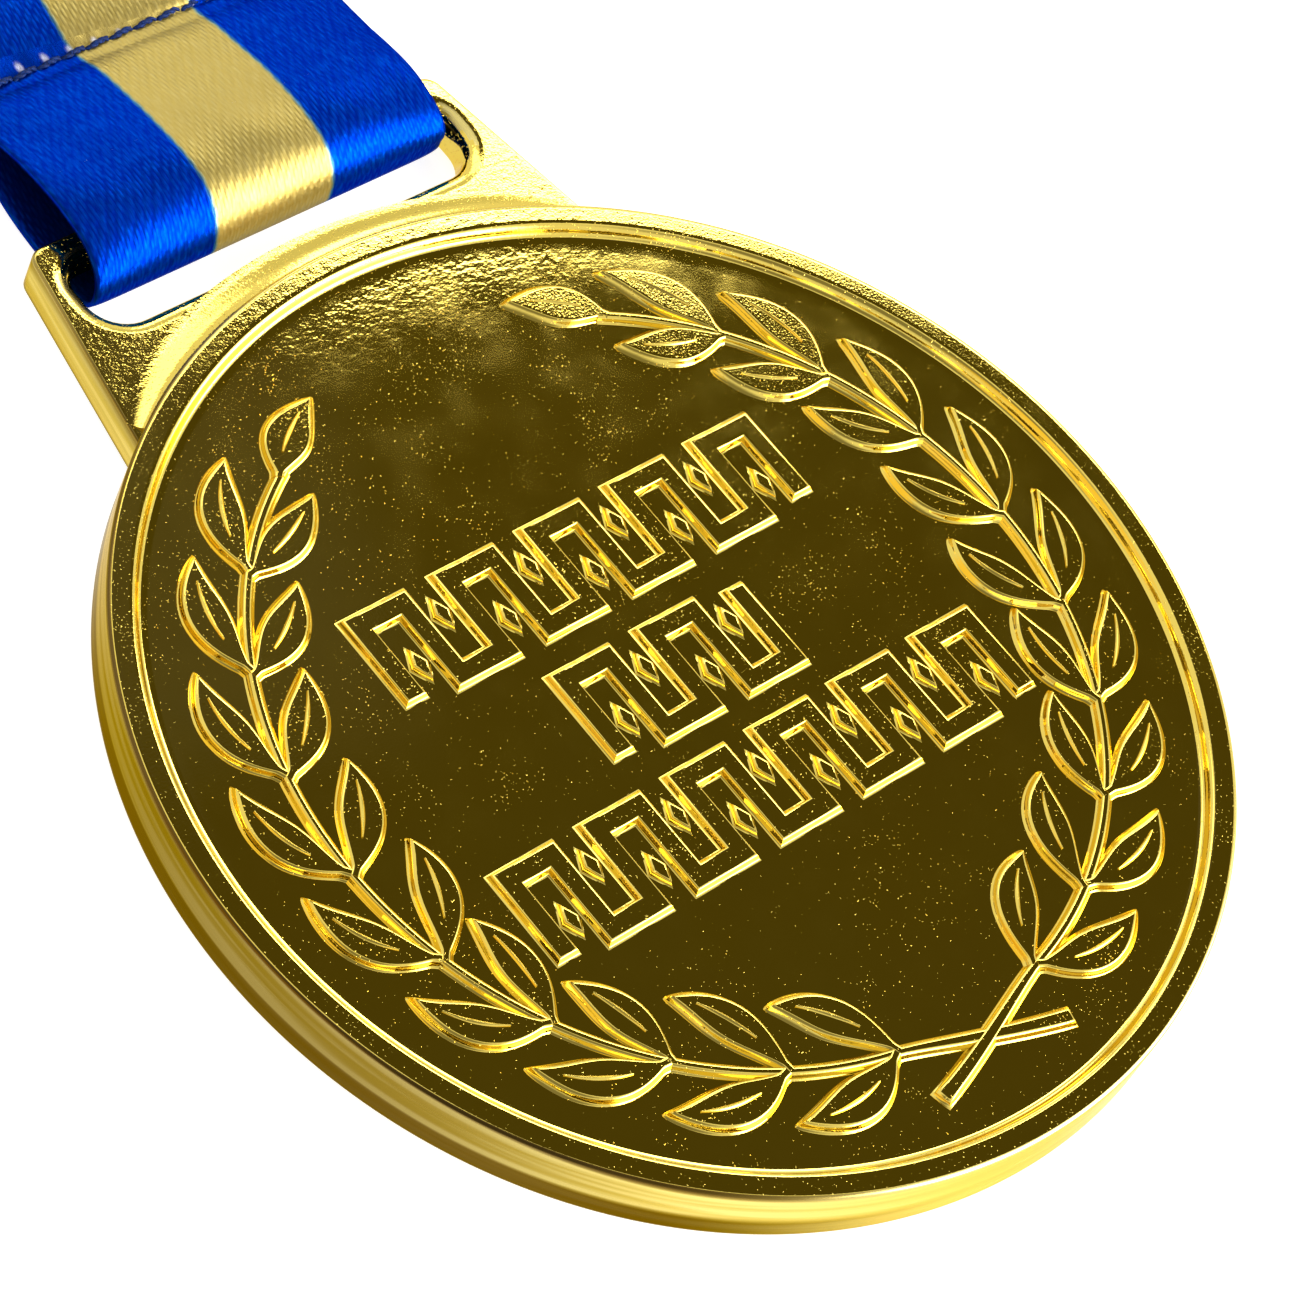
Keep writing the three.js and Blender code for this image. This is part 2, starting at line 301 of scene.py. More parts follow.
def satin_ribbon():
    """Three equal stripes of warp-faced satin. across and along are the cloth's own measures, in
    millimetres, kept on the mesh so that the weave follows every fold."""
    n = Nodes("ribbon_satin")
    across, along = n.attribute("across"), n.attribute("along")
    column = n.math("DIVIDE", across, END_PITCH)
    index = n.math("FLOOR", column)
    in_column = n.math("FRACT", column)
    wander = n.noise(n.place(), 900, 2.0)
    row = n.math("ADD", n.math("DIVIDE", along, FLOAT_PITCH), n.math("MULTIPLY", index, 0.4))
    row = n.math("ADD", row, n.math("MULTIPLY", wander, 0.6))
    in_row = n.math("FRACT", row)
    round_end = n.math("SINE", n.math("MULTIPLY", in_column, math.pi))
    crown = n.step(n.math("ABSOLUTE", n.math("SUBTRACT", in_row, 0.5)), 0.46, 0.1)
    floats = n.math("MULTIPLY", round_end, crown)

    stripe = n.math("SUBTRACT", n.math("ABSOLUTE", across), RIBBON_W / 6)
    ragged = n.math("ADD", stripe, n.math("MULTIPLY", n.math("SUBTRACT", crown, 0.5), 0.05))
    blueness = n.step(ragged, -0.06, 0.06)
    fibre = n.noise(n.place(), 5200, 3.0, 0.7)
    cloth = n.join(n.math("MULTIPLY", across, 4.5), n.math("MULTIPLY", along, 1.1), 0.0)
    yarns = n.noise(cloth, 1.0, 3.0, 0.6)
    glint = n.step(yarns, 0.42, 0.72)
    # Painted highlight: float crowns and yarn glints painted lighter as satin sheen; the sand also varies
    # at random with the fibre.
    lit = n.math("ADD", n.math("MULTIPLY", floats, 0.25), n.math("MULTIPLY", glint, 0.4))
    blue = n.mix(lit, BLUE, BLUE_LIT)
    sand_lit = n.math("ADD", n.math("MULTIPLY", lit, 0.6), n.math("MULTIPLY", fibre, 0.3))
    sand = n.mix(sand_lit, SAND, SAND_LIT)
    colour = n.mix(blueness, sand, blue)
    line = n.step(n.math("ABSOLUTE", ragged), 0.2, 0.04)
    colour = n.mix(n.math("MULTIPLY", line, 0.55), colour, EDGE_GREEN)

    hole = n.math("SUBTRACT", n.math("FRACT", n.math("DIVIDE", across, STITCH)), 0.5)
    hole = n.math("MULTIPLY", hole, STITCH)
    above = n.math("MULTIPLY", n.math("SUBTRACT", n.attribute("past_seam"), 0.15), 1.3)
    reach = n.math("SQRT", n.math("ADD", n.math("MULTIPLY", hole, hole), n.math("MULTIPLY", above, above)))
    puff = n.step(n.math("ADD", reach, n.math("MULTIPLY", yarns, 0.7)), 0.62, 0.42)
    colour = n.mix(n.math("MULTIPLY", puff, 0.75), colour, PUCKER_PALE)

    normal = n.bump(floats, 0.000025, 0.6)
    normal = n.bump(yarns, 0.000014, 0.7, normal)
    return n.shade(Base_Color=colour, Roughness=n.step(fibre, 0.3, 0.7, 0.32, 0.46), Normal=normal,
                   Metallic=0.8, Specular_IOR_Level=0.0, Specular_Tint=SATIN_TINT)


def navy_thread():
    n = Nodes("navy_thread")
    at = n.place()
    fibre = n.noise(at, 9000, 3.0, 0.7)
    colour = n.mix(n.step(fibre, 0.35, 0.7), (0.0, 0.003, 0.035, 1), (0.0, 0.03, 0.19, 1))
    return n.shade(Base_Color=colour, Roughness=0.6, Normal=n.bump(fibre, 0.00003),
                   Specular_IOR_Level=0.2)


def paper_band():
    n = Nodes("paper_band")
    at = n.place()
    pulp = n.noise(at, 3500, 4.0, 0.7)
    mottle = n.noise(at, 260, 3.0, 0.6)
    colour = n.mix(mottle, (0.86, 0.83, 0.75, 1), (0.78, 0.75, 0.67, 1))
    return n.shade(Base_Color=colour, Roughness=n.step(pulp, 0.3, 0.7, 0.78, 0.95),
                   Normal=n.bump(pulp, 0.00003, 0.5))


def pale_floor():
    n = Nodes("pale_floor")
    tone = n.noise(n.place(), 3, 2.0)
    return n.shade(Base_Color=n.mix(tone, (0.52, 0.52, 0.52, 1), (0.5, 0.5, 0.5, 1)), Roughness=0.9,
                   Emission_Color=(1, 1, 1, 1), Emission_Strength=0.85)


# ---- Mesh helpers ----------------------------------------------------------------------------

def add_mesh(name, vertices, faces, material, sharp=40):
    """A smooth-shaded object from vertices in millimetres, with creases over the given angle."""
    mesh = bpy.data.meshes.new(name)
    mesh.from_pydata([tuple(MM * c for c in v) for v in vertices], [], faces)
    mesh.validate()
    mesh.materials.append(material)
    thing = bpy.data.objects.new(name, mesh)
    bpy.context.collection.objects.link(thing)
    face_outward(mesh)
    mesh.shade_smooth()
    if sharp:
        mesh.set_sharp_from_angle(angle=math.radians(sharp))
    return thing


def face_outward(mesh):
    work = bmesh.new()
    work.from_mesh(mesh)
    bmesh.ops.recalc_face_normals(work, faces=work.faces)
    work.to_mesh(mesh)
    work.free()


class Shell:
    """Collects closed loops of points into one mesh."""

    def __init__(self):
        self.vertices = []
        self.faces = []

    def ring(self, points):
        start = len(self.vertices)
        self.vertices.extend(tuple(p) for p in points)
        return list(range(start, start + len(points)))

    def skin(self, rings, closed=True, capped=True):
        """Quads between each ring and the next, and a face over each end."""
        for a, b in zip(rings, rings[1:]):
            count = len(a)
            for i in range(count if closed else count - 1):
                j = (i + 1) % count
                self.faces.append((a[i], a[j], b[j], b[i]))
        if capped:
            self.faces.append(tuple(rings[0]))
            self.faces.append(tuple(reversed(rings[-1])))


def lathe(shell, profile, segments):
    """A closed turned body from a profile of (radius, height), from its face round to its back."""
    angles = [2 * math.pi * i / segments for i in range(segments)]
    rings = [shell.ring([(r * math.cos(a), r * math.sin(a), z) for a in angles]) for r, z in profile]
    shell.skin(rings)


def raised_plate(shell, outline, top, root):
    """A raised piece of relief with a flat top, a softly rounded edge and a sloping wall.
    outline(d) gives its edge moved out by d."""
    drop = top - root
    levels = (
        (-0.14, top),
        (-0.11, top),
        (-0.05, top - 0.006),
        (0.0, top - 0.024),
        (0.045, top - 0.06),
        (0.08, top - 0.11),
        (0.11, top - 0.45 * drop),
        (BEVEL * 0.8, root + 0.2 * drop),
        (BEVEL, root + 0.07 * drop),
        (BEVEL * 1.3, root),
        (BEVEL * 1.35, root - 0.12),
    )
    shell.skin([shell.ring([(x, y, z) for x, y in outline(d)]) for d, z in levels])


def wall_points(spine, half, grow):
    """Both sides of a strip that follows spine, a list of points. half gives its half width at
    each point, and grow widens it all the way along."""
    points = np.array(spine)
    along = np.gradient(points, axis=0)
    along /= np.linalg.norm(along, axis=1)[:, None]
    side = np.stack([-along[:, 1], along[:, 0]], axis=1)
    reach = np.maximum(np.array(half) + grow, 0.012)[:, None]
    return np.concatenate([points + side * reach, (points - side * reach)[::-1]])


# ---- The casting: disc and hanger ------------------------------------------------------------

def disc_profile():
    """From the field out over the cove, bevel and rim, down the wall and in under the back."""
    return (
        (28.6, FIELD_Z), (29.15, FIELD_Z), (29.42, FIELD_Z + 0.006), (29.58, FIELD_Z + 0.026),
        (29.68, FIELD_Z + 0.06), (29.75, FIELD_Z + 0.11), (29.8, FIELD_Z + 0.18),
        (29.84, FIELD_Z + 0.27), (29.93, FIELD_Z + 0.52),
        (29.98, FIELD_Z + 0.58), (30.04, FIELD_Z + 0.64), (30.12, FIELD_Z + 0.68),
        (30.24, RIM_Z), (30.36, RIM_Z), (30.62, RIM_Z), (31.12, RIM_Z), (31.22, RIM_Z),
        (31.3, RIM_Z - 0.01), (31.38, RIM_Z - 0.04), (31.45, RIM_Z - 0.1),
        (31.49, RIM_Z - 0.16), (DISC_R, RIM_Z - 0.26), (DISC_R, RIM_Z - 0.5), (DISC_R, 2.0),
        (DISC_R, 0.45), (DISC_R, 0.3), (31.46, 0.15), (31.36, 0.06), (31.2, 0.012),
        (31.05, 0.0), (30.6, 0.0), (29.0, 0.0),
    )


def make_disc(face_gold, rim_gold, wall_gold):
    shell = Shell()
    lathe(shell, disc_profile(), 480)
    disc = add_mesh("medal_disc", shell.vertices, shell.faces, face_gold, sharp=50)
    disc.data.materials.append(rim_gold)
    disc.data.materials.append(wall_gold)
    for face in disc.data.polygons:
        radius = face.center.xy.length / MM
        height = face.center.z / MM
        if len(face.vertices) > 4:
            continue
        if radius > 31.28:
            face.material_index = 2
        elif height > 1.0 and radius > 29.6:
            face.material_index = 1
    return disc


def rounded_outline(corners, steps=10):
    """A closed outline of (x, y, radius) corners, each rounded by an arc."""
    points = []
    count = len(corners)
    for i, (x, y, radius) in enumerate(corners):
        corner = Vector((x, y))
        last = Vector(corners[i - 1][:2])
        following = Vector(corners[(i + 1) % count][:2])
        back, on = (last - corner).normalized(), (following - corner).normalized()
        half_angle = back.angle(on) / 2
        if radius <= 0:
            points.append(corner)
            continue
        middle = corner + (back + on).normalized() * (radius / math.sin(half_angle))
        first = corner + back * (radius / math.tan(half_angle)) - middle
        final = corner + on * (radius / math.tan(half_angle)) - middle
        sweep = first.angle_signed(final)
        for step in range(steps + 1):
            turn = Matrix.Rotation(-sweep * step / steps, 2)
            points.append(middle + turn @ first)
    return points


def grown(points, distance):
    """A closed outline moved out by distance along its corners' mitres."""
    pts = np.array([tuple(p) for p in points])
    before, after = np.roll(pts, 1, axis=0), np.roll(pts, -1, axis=0)
    into = pts - before
    out = after - pts
    into /= np.linalg.norm(into, axis=1)[:, None]
    out /= np.linalg.norm(out, axis=1)[:, None]
    normal = np.stack([into[:, 1] + out[:, 1], -into[:, 0] - out[:, 0]], axis=1)
    normal /= np.linalg.norm(normal, axis=1)[:, None]
    lead = np.stack([into[:, 1], -into[:, 0]], axis=1)
    share = np.clip((normal * lead).sum(axis=1), 0.35, 1)
    area = 0.5 * np.sum(pts[:, 0] * after[:, 1] - after[:, 0] * pts[:, 1])
    return pts + normal * (distance * math.copysign(1, area) / share)[:, None]


def edge_steps(run, drop, count=7):
    """Inset and drop of each step of a quarter round, run wide and drop deep."""
    for i in range(count + 1):
        turn = math.pi / 2 * i / count
        yield run * (1 - math.sin(turn)), drop * (1 - math.cos(turn))


def make_hanger(gold, wall_gold):
    """The slotted plate, its edges rounded more towards the slot, with its bar relieved behind."""
    root_x, root_y = PLATE_ROOT
    top_x, top_y = PLATE_TOP
    half, low, high = SLOT
    outer = rounded_outline([(-root_x, root_y, 0), (root_x, root_y, 0),
                             (top_x, top_y, PLATE_CORNER), (-top_x, top_y, PLATE_CORNER)])
    slot = rounded_outline([(-half, low, SLOT_LOW_R), (half, low, SLOT_LOW_R),
                            (half, high, SLOT_HIGH_R), (-half, high, SLOT_HIGH_R)])
    rings = []
    work = bmesh.new()
    for outline, run, depth, sign in ((outer, 0.22, 0.2, -1), (slot, 1.05, 0.75, 1)):
        levels = [(inset, PLATE_Z - drop) for inset, drop in edge_steps(run, depth)]
        levels.insert(0, (run + 0.12, PLATE_Z))
        levels += [(0, 1.2), (0, 0.2), (0.08, 0.05), (0.2, 0.0), (0.35, 0.0)]
        loops = []
        for inset, z in levels:
            loops.append([work.verts.new((x * MM, y * MM, z * MM))
                          for x, y in grown(outline, sign * inset)])
        for a, b in zip(loops, loops[1:]):
            for i in range(len(a)):
                j = (i + 1) % len(a)
                work.faces.new((a[i], a[j], b[j], b[i]))
        rings.append((loops[0], loops[-1]))
    for level in (0, 1):
        edges = []
        for ring in (rings[0][level], rings[1][level]):
            for i, vertex in enumerate(ring):
                pair = (vertex, ring[(i + 1) % len(ring)])
                edges.append(work.edges.get(pair) or work.edges.new(pair))
        bmesh.ops.triangle_fill(work, use_beauty=True, use_dissolve=False, edges=edges)
    bmesh.ops.recalc_face_normals(work, faces=work.faces)
    mesh = bpy.data.meshes.new("hanger_plate")
    work.to_mesh(mesh)
    work.free()
    plate = bpy.data.objects.new("hanger_plate", mesh)
    bpy.context.collection.objects.link(plate)
    cut_behind_bar(plate, half, high, top_y)
    mesh = plate.data
    mesh.materials.clear()
    mesh.materials.append(gold)
    mesh.materials.append(wall_gold)
    mesh.shade_smooth()
    mesh.set_sharp_from_angle(angle=math.radians(50))
    for face in mesh.polygons:
        outside = abs(face.center.x) / MM > half + 0.3 or face.center.y / MM > high + 0.5
        face.material_index = 1 if outside and abs(face.normal.z) < 0.98 else 0
    return plate


def cut_behind_bar(plate, half, high, top_y):
    """Takes the back of the bar away, so that the ribbon passes beneath it."""
    low_corner = Vector((-half, high - 1.0, -1.0))
    high_corner = Vector((half, top_y + 2.0, BAR_RELIEF))
    work = bmesh.new()
    bmesh.ops.create_cube(work, size=1.0)
    for vertex in work.verts:
        for axis in range(3):
            end = high_corner if vertex.co[axis] > 0 else low_corner
            vertex.co[axis] = end[axis] * MM
    mesh = bpy.data.meshes.new("bar_cutter")
    work.to_mesh(mesh)
    work.free()
    cutter = bpy.data.objects.new("bar_cutter", mesh)
    bpy.context.collection.objects.link(cutter)
    cut = plate.modifiers.new("relieve", "BOOLEAN")
    cut.object = cutter
    cut.solver = "EXACT"
    depsgraph = bpy.context.evaluated_depsgraph_get()
    result = bpy.data.meshes.new_from_object(plate.evaluated_get(depsgraph))
    plate.modifiers.clear()
    plate.data = result
    bpy.data.objects.remove(cutter)


def make_fillet(gold):
    """The soft corner where the plate's front meets the disc's wall."""
    reach = 2.3
    height = 0.75
    steps = 10
    span = math.degrees(math.atan2(PLATE_ROOT[0] - 1.6, PLATE_ROOT[1]))
    rings = []
    shell = Shell()
    for k in range(97):
        share = 2 * k / 96 - 1
        angle = math.radians(90 + share * span)
        size = reach * (1 - 0.55 * abs(share) ** 6)
        rise = height * size / reach
        ring = [(DISC_R - 0.5, PLATE_Z + rise)]
        for i in range(steps + 1):
            turn = math.pi / 2 * i / steps
            ring.append((DISC_R + size * (1 - math.cos(turn)),
                         PLATE_Z + rise * (1 - math.sin(turn)) + 0.002))
        ring.append((DISC_R + size, PLATE_Z - 0.3))
        ring.append((DISC_R - 0.5, PLATE_Z - 0.3))
        rings.append(shell.ring([(r * math.cos(angle), r * math.sin(angle), z) for r, z in ring]))
    shell.skin(rings)
    return add_mesh("hanger_fillet", shell.vertices, shell.faces, gold, sharp=50)


# ---- The casting: laurel ---------------------------------------------------------------------

def face_point(radius, degrees, side):
    angle = math.radians(degrees)
    return Vector((side * radius * math.sin(angle), -radius * math.cos(angle)))


def stem_radius(degrees):
    """The stem follows the wreath's circle, and swings out where it crosses the other at the foot."""
    return SPINE_R + 3.1 * (max(0.0, 13.0 - degrees) / 23.0) ** 1.6


def bezier(a, b, c, share):
    return a * (1 - share) ** 2 + b * (2 * share * (1 - share)) + c * share ** 2


def leaf_outline(base, lean, tip, width):
    """outline(d) for a leaf that leaves the stem along lean, narrow like a stalk, and then swells
    and runs to a point."""
    count = 30
    shares = [0.5 - 0.5 * math.cos(math.pi * i / count) for i in range(count + 1)]
    length = (tip - base).length

    def outline(grow):
        stretch = 1 + grow * 1.25 / length
        spine = []
        half = []
        for share in shares:
            at = share * stretch
            spine.append(tuple(bezier(base, lean, tip, at)))
            blade = max(0.0, (share - 0.06) / 0.94)
            swell = width * math.sin(math.pi * blade ** 0.95) ** 1.12
            stalk = 0.2 * (1 - share) ** 0.7
            edge = grow * (1 - share ** 9) ** 0.5
            half.append(max(swell + stalk + edge, 0.012 * (1.001 - share)))
        return wall_points(spine, half, 0.0)

    return outline


def vein(shell, base, lean, tip, top):
    """A fine raised rib along the middle of the blade."""
    count = 10
    rings = []
    for half, lift in ((0.015, 0.11), (0.06, 0.085), (0.13, 0.0), (0.15, -0.05)):
        spine = [tuple(bezier(base, lean, tip, 0.3 + 0.5 * i / count)) for i in range(count + 1)]
        widths = [half * (0.25 + 0.75 * math.sin(math.pi * (0.08 + 0.84 * i / count)))
                  for i in range(count + 1)]
        rings.append(shell.ring([(x, y, top + lift) for x, y in wall_points(spine, widths, 0.0)]))
    shell.skin(rings)


def add_leaf(shell, side, base_angle, tip_angle, tip_radius, width, top):
    base = face_point(stem_radius(base_angle), base_angle, side)
    tip = face_point(tip_radius, tip_angle, side)
    bow = SPINE_R + (tip_radius - SPINE_R) * 0.92
    lean = face_point(bow, base_angle + (tip_angle - base_angle) * 0.42, side)
    raised_plate(shell, leaf_outline(base, lean, tip, width), top, FIELD_Z)
    vein(shell, base, lean, tip, top)


def make_branch(side, gold):
    shell = Shell()
    last_base = FIRST_TIP + LEAF_PAIRS * PITCH - SWEEP
    angles = np.linspace(STEM_FOOT, last_base + 1.5, 90)
    spine = [tuple(face_point(stem_radius(a), a, side)) for a in angles]
    widths = [0.17 + 0.2 * max(0.0, (14 - a) / 24) for a in angles]

    def stem_outline(grow):
        ends = list(spine)
        first = np.array(ends[0]) + (np.array(ends[0]) - np.array(ends[1])) * grow * 0.9
        ends[0] = tuple(first)
        return wall_points(ends, widths, grow)

    stem_top = FIELD_Z + RELIEF * (0.9 if side < 0 else 0.96)
    raised_plate(shell, stem_outline, stem_top, FIELD_Z)
    for pair in range(LEAF_PAIRS):
        tip_angle = FIRST_TIP + pair * PITCH
        lift = 0.012 * (pair % 2)
        nudge = dice.uniform(-0.5, 0.5)
        add_leaf(shell, side, tip_angle - SWEEP - 0.5, tip_angle + nudge, OUTER_TIP_R,
                 LEAF_HALF, FIELD_Z + RELIEF + lift)
        add_leaf(shell, side, tip_angle - SWEEP - 1.1, tip_angle - nudge, INNER_TIP_R[pair],
                 LEAF_HALF * 0.97, FIELD_Z + RELIEF - 0.02 + lift)
    add_leaf(shell, side, last_base, last_base + TOP_LEAF_TURN, TOP_LEAF_R, LEAF_HALF * 1.05,
             FIELD_Z + RELIEF)
    name = "laurel_left" if side < 0 else "laurel_right"
    return add_mesh(name, shell.vertices, shell.faces, gold, sharp=75)


# ---- The casting: fret bands -----------------------------------------------------------------

def stroke_outline(points, half):
    """outline(d) for a line drawn with mitred corners."""
    pts = [Vector(p) for p in points]

    def outline(grow):
        sides = [[], []]
        for i, point in enumerate(pts):
            before = pts[max(i - 1, 0)]
            after = pts[min(i + 1, len(pts) - 1)]
            into = ((point - before) if i else (after - point)).normalized()
            out = ((after - point) if i < len(pts) - 1 else (point - before)).normalized()
            mitre = Vector((-into.y - out.y, into.x + out.x)).normalized()
            reach = (half + grow) / mitre.dot(Vector((-into.y, into.x)))
            end = Vector((0, 0))
            if i == 0:
                end = -out * grow
            elif i == len(pts) - 1:
                end = into * grow
            sides[0].append(point + mitre * reach + end)
            sides[1].append(point - mitre * reach + end)
        return sides[0] + sides[1][::-1]

    return outline


def make_fret(name, middle, width, bays, gold):
    shell = Shell()
    half = FRET_STROKE / 2 - BEVEL
    pitch = (width - FRET_STROKE) / bays
    reach = (FRET_HEIGHT - FRET_STROKE) / 2
    points = []
    for bar in range(bays + 1):
        x = -(width - FRET_STROKE) / 2 + bar * pitch
        rise = -reach if bar % 2 else reach
        points += [(x, middle - rise), (x, middle + rise)]
        if bar < bays:
            centre = Vector((x + pitch / 2, middle - math.copysign(1.0, rise)))
            add_stud(shell, centre)
    raised_plate(shell, stroke_outline(points, half), FIELD_Z + RELIEF, FIELD_Z)
    return add_mesh(name, shell.vertices, shell.faces, gold, sharp=45)


def add_stud(shell, centre):
    def outline(grow):
        size = 0.42 + grow
        return [centre + Vector(c) for c in ((-size, 0), (0, -2 * size), (size, 0), (0, 2 * size))]

    raised_plate(shell, outline, FIELD_Z + RELIEF * 0.85, FIELD_Z)


# ---- The ribbon ------------------------------------------------------------------------------

def spline(points, count):
    """count points along a smooth curve through the given ones, evenly spaced."""
    pts = np.array(points, float)
    ghost = np.vstack([2 * pts[0] - pts[1], pts, 2 * pts[-1] - pts[-2]])
    fine = []
    for i in range(len(pts) - 1):
        p0, p1, p2, p3 = ghost[i:i + 4]
        for share in np.linspace(0, 1, 24, endpoint=False):
            s2, s3 = share ** 2, share ** 3
            fine.append(0.5 * (2 * p1 + (p2 - p0) * share + (2 * p0 - 5 * p1 + 4 * p2 - p3) * s2
                               + (3 * p1 - p0 - 3 * p2 + p3) * s3))
    fine.append(pts[-1])
    fine = np.array(fine)
    gaps = np.linalg.norm(np.diff(fine, axis=0), axis=1)
    run = np.concatenate([[0], np.cumsum(gaps)])
    even = np.linspace(0, run[-1], count)
    return np.stack([np.interp(even, run, fine[:, k]) for k in range(fine.shape[1])], axis=1)


HALF_T = RIBBON_T / 2
FRONT_Z = 2.9            # middle of the front layer at the seam
BACK_Z = FRONT_Z - RIBBON_T - 0.02
LOOP_ASIDE = 0.25        # the roll hangs a little to the right,
LOOP_SKEW = 0.6          # and its right end lower than its left


def loop_run():
    """The loop's middle line in (y, z), from the seam over the bar, through the slot and back."""
    front = [(SEAM_Y, FRONT_Z), (48.6, 3.08), (48.1, 3.3), (47.2, 3.58), (45.4, 3.9), (43.6, 4.22),
             (41.9, 4.43), (40.3, 4.52), (38.9, 4.38), (37.7, 4.0), (36.75, 3.3), (36.15, 2.4),
             (35.95, 1.5), (36.15, 0.8), (36.7, 0.4), (37.7, 0.24), (39.5, 0.23), (41.4, 0.26),
             (43.4, 0.5), (45.4, 1.05), (47.4, 1.85), (48.5, 2.3), (SEAM_Y, BACK_Z)]
    return spline(front, 120)


def hank_levels():
    """The middle heights of the hank's six doubled runs."""
    return [0.62 + 1.42 * k for k in range(6)]


def hank_strands():
    """The doubled ribbon laid to and fro: the two layers' middle lines, from the arms to the turn
    that joins them at the middle of the neck."""
    near, far = HANK_Y[0] + 1.5, HANK_Y[1] - 1.6
    levels = hank_levels()
    centre = []
    for k, level in enumerate(levels):
        ends = (near, far) if k % 2 == 0 else (far, near)
        for share in np.linspace(0, 1, 13):
            y = ends[0] + (ends[1] - ends[0]) * share
            waist = math.exp(-((y - TIE_Y) / 15.0) ** 4)
            squeezed = 0.55 + 0.98 * k + 0.75
            centre.append((y, level + (squeezed - level) * waist))
        if k + 1 < len(levels):
            radius = (levels[k + 1] - level) / 2
            sense = 1 if k % 2 == 0 else -1
            for turn in np.linspace(-math.pi / 2, math.pi / 2, 9)[1:-1]:
                centre.append((ends[1] + sense * radius * math.cos(turn),
                               level + radius + radius * math.sin(turn)))
    return np.array(centre)


def offset_run(run, distance):
    along = np.gradient(run, axis=0)
    along /= np.linalg.norm(along, axis=1)[:, None]
    return run + np.stack([-along[:, 1], along[:, 0]], axis=1) * distance


def ribbon_route():
    """The ribbon's whole closed middle line in (y, z), and for each point the stretch it is on."""
    gap = HALF_T + 0.015
    hank = hank_strands()
    upper, lower = offset_run(hank, gap), offset_run(hank, -gap)
    start_upper, start_lower = upper[0], lower[0]
    front_arm = spline([(SEAM_Y, FRONT_Z), (49.9, 3.02), (51.0, 3.25), (53.6, 3.5), (56.5, 3.3),
                        (61.0, 2.1), (65.0, start_upper[1] + 0.06), tuple(start_upper)], 34)
    back_arm = spline([(SEAM_Y, BACK_Z), (50.2, 2.25), (53.0, 1.7), (57.0, 0.75), (61.0, 0.3),
                       (65.0, start_lower[1]), tuple(start_lower)], 26)
    last = hank[-1]
    bulge = [(last[0] - 0.5, last[1] + 0.42), (last[0] - 1.1, last[1] + 0.4), (last[0] - 1.5, last[1]),
             (last[0] - 1.1, last[1] - 0.4), (last[0] - 0.5, last[1] - 0.42)]
    sections = (
        ("loop", loop_run()),
        ("back", back_arm[1:]),
        ("back", lower[1:]),
        ("back", np.array(bulge[::-1])),
        ("front", upper[::-1]),
        ("front", front_arm[::-1][1:-1]),
    )
    points = np.concatenate([run for _, run in sections])
    tags = [tag for tag, run in sections for _ in run]
    return points, tags


def side_shift(y, tag):
    """How far an arm strays to its side: the two arms open a little beyond the seam."""
    if tag == "loop" or y < SEAM_Y:
        return 0.0
    out = (y - SEAM_Y) * math.tan(math.radians(6.5))
    settle = 1 / (1 + math.exp((y - 58.0) / 1.8))
    return (out if tag == "front" else -out) * settle


def make_ribbon(material):
    """The ribbon as one closed band, two faces and two selvedges thick, with the cloth's own
    measures kept as point attributes for its weave."""
    route, tags = ribbon_route()
    count = len(route)
    along = np.roll(route, -1, axis=0) - np.roll(route, 1, axis=0)
    along /= np.linalg.norm(along, axis=1)[:, None]
    up = np.stack([-along[:, 1], along[:, 0]], axis=1)
    steps = np.linalg.norm(np.roll(route, -1, axis=0) - route, axis=1)
    travel = np.concatenate([[0], np.cumsum(steps)[:-1]])
    total = steps.sum()
    columns = 90
    shares = [-1 + 2 * i / columns for i in range(columns + 1)]
    vertices, across, length, past = [], [], [], []
    for i, (y, z) in enumerate(route):
        shift = side_shift(y, tags[i])
        lean = side_shift(y + 0.5, tags[i]) - side_shift(y - 0.5, tags[i])
        in_loop = tags[i] == "loop"
        shown = max(0.0, 1 - abs(z - 4.2) / 2.4) if in_loop and z > 1.2 else 0.0
        seam_near = math.exp(-((y - SEAM_Y) / 0.42) ** 2)
        from_seam = travel[i] if travel[i] < total / 2 else travel[i] - total
        top_layer = (in_loop and i < 60) or tags[i] == "front"
        for face in (1, -1):
            for share in shares:
                x = share * RIBBON_W / 2
                drawn = shown * (LOOP_ASIDE - 0.02 * x)
                thin = HALF_T * (1 - 0.45 * abs(share) ** 24)
                crown = -0.55 * shown * abs(share) ** 3
                ripple = 0.04 * shown * math.sin(x * 1.1 + y * 0.8)
                pucker = 0.0
                if seam_near > 0.01:
                    wave = 0.5 + 0.5 * math.cos(2 * math.pi * x / STITCH)
                    pucker = -0.11 * seam_near * (0.35 + 0.65 * wave) * (1 if top_layer else -0.6)
                lift = face * thin
                vertices.append((
                    x + shift + drawn,
                    y - x * lean - LOOP_SKEW * shown * share + up[i][0] * (lift + crown),
                    z + up[i][1] * lift + crown + ripple + pucker,
                ))
                across.append(x)
                length.append(travel[i])
                past.append(-from_seam if top_layer and abs(from_seam) < 8 else 50.0)
    row = 2 * (columns + 1)
    faces = []
    for i in range(count):
        j = (i + 1) % count
        a, b = i * row, j * row
        for k in range(columns):
            faces.append((a + k, a + k + 1, b + k + 1, b + k))
            low_a, low_b = a + columns + 1 + k, b + columns + 1 + k
            faces.append((low_a + 1, low_a, low_b, low_b + 1))
        faces.append((a, b, b + columns + 1, a + columns + 1))
        faces.append((a + columns, a + 2 * columns + 1, b + 2 * columns + 1, b + columns))
    ribbon = add_mesh("neck_ribbon", vertices, faces, material, sharp=0)
    for name, values in (("across", across), ("along", length), ("past_seam", past)):
        layer = ribbon.data.attributes.new(name, "FLOAT", "POINT")
        layer.data.foreach_set("value", np.array(values, np.float32))
    return ribbon


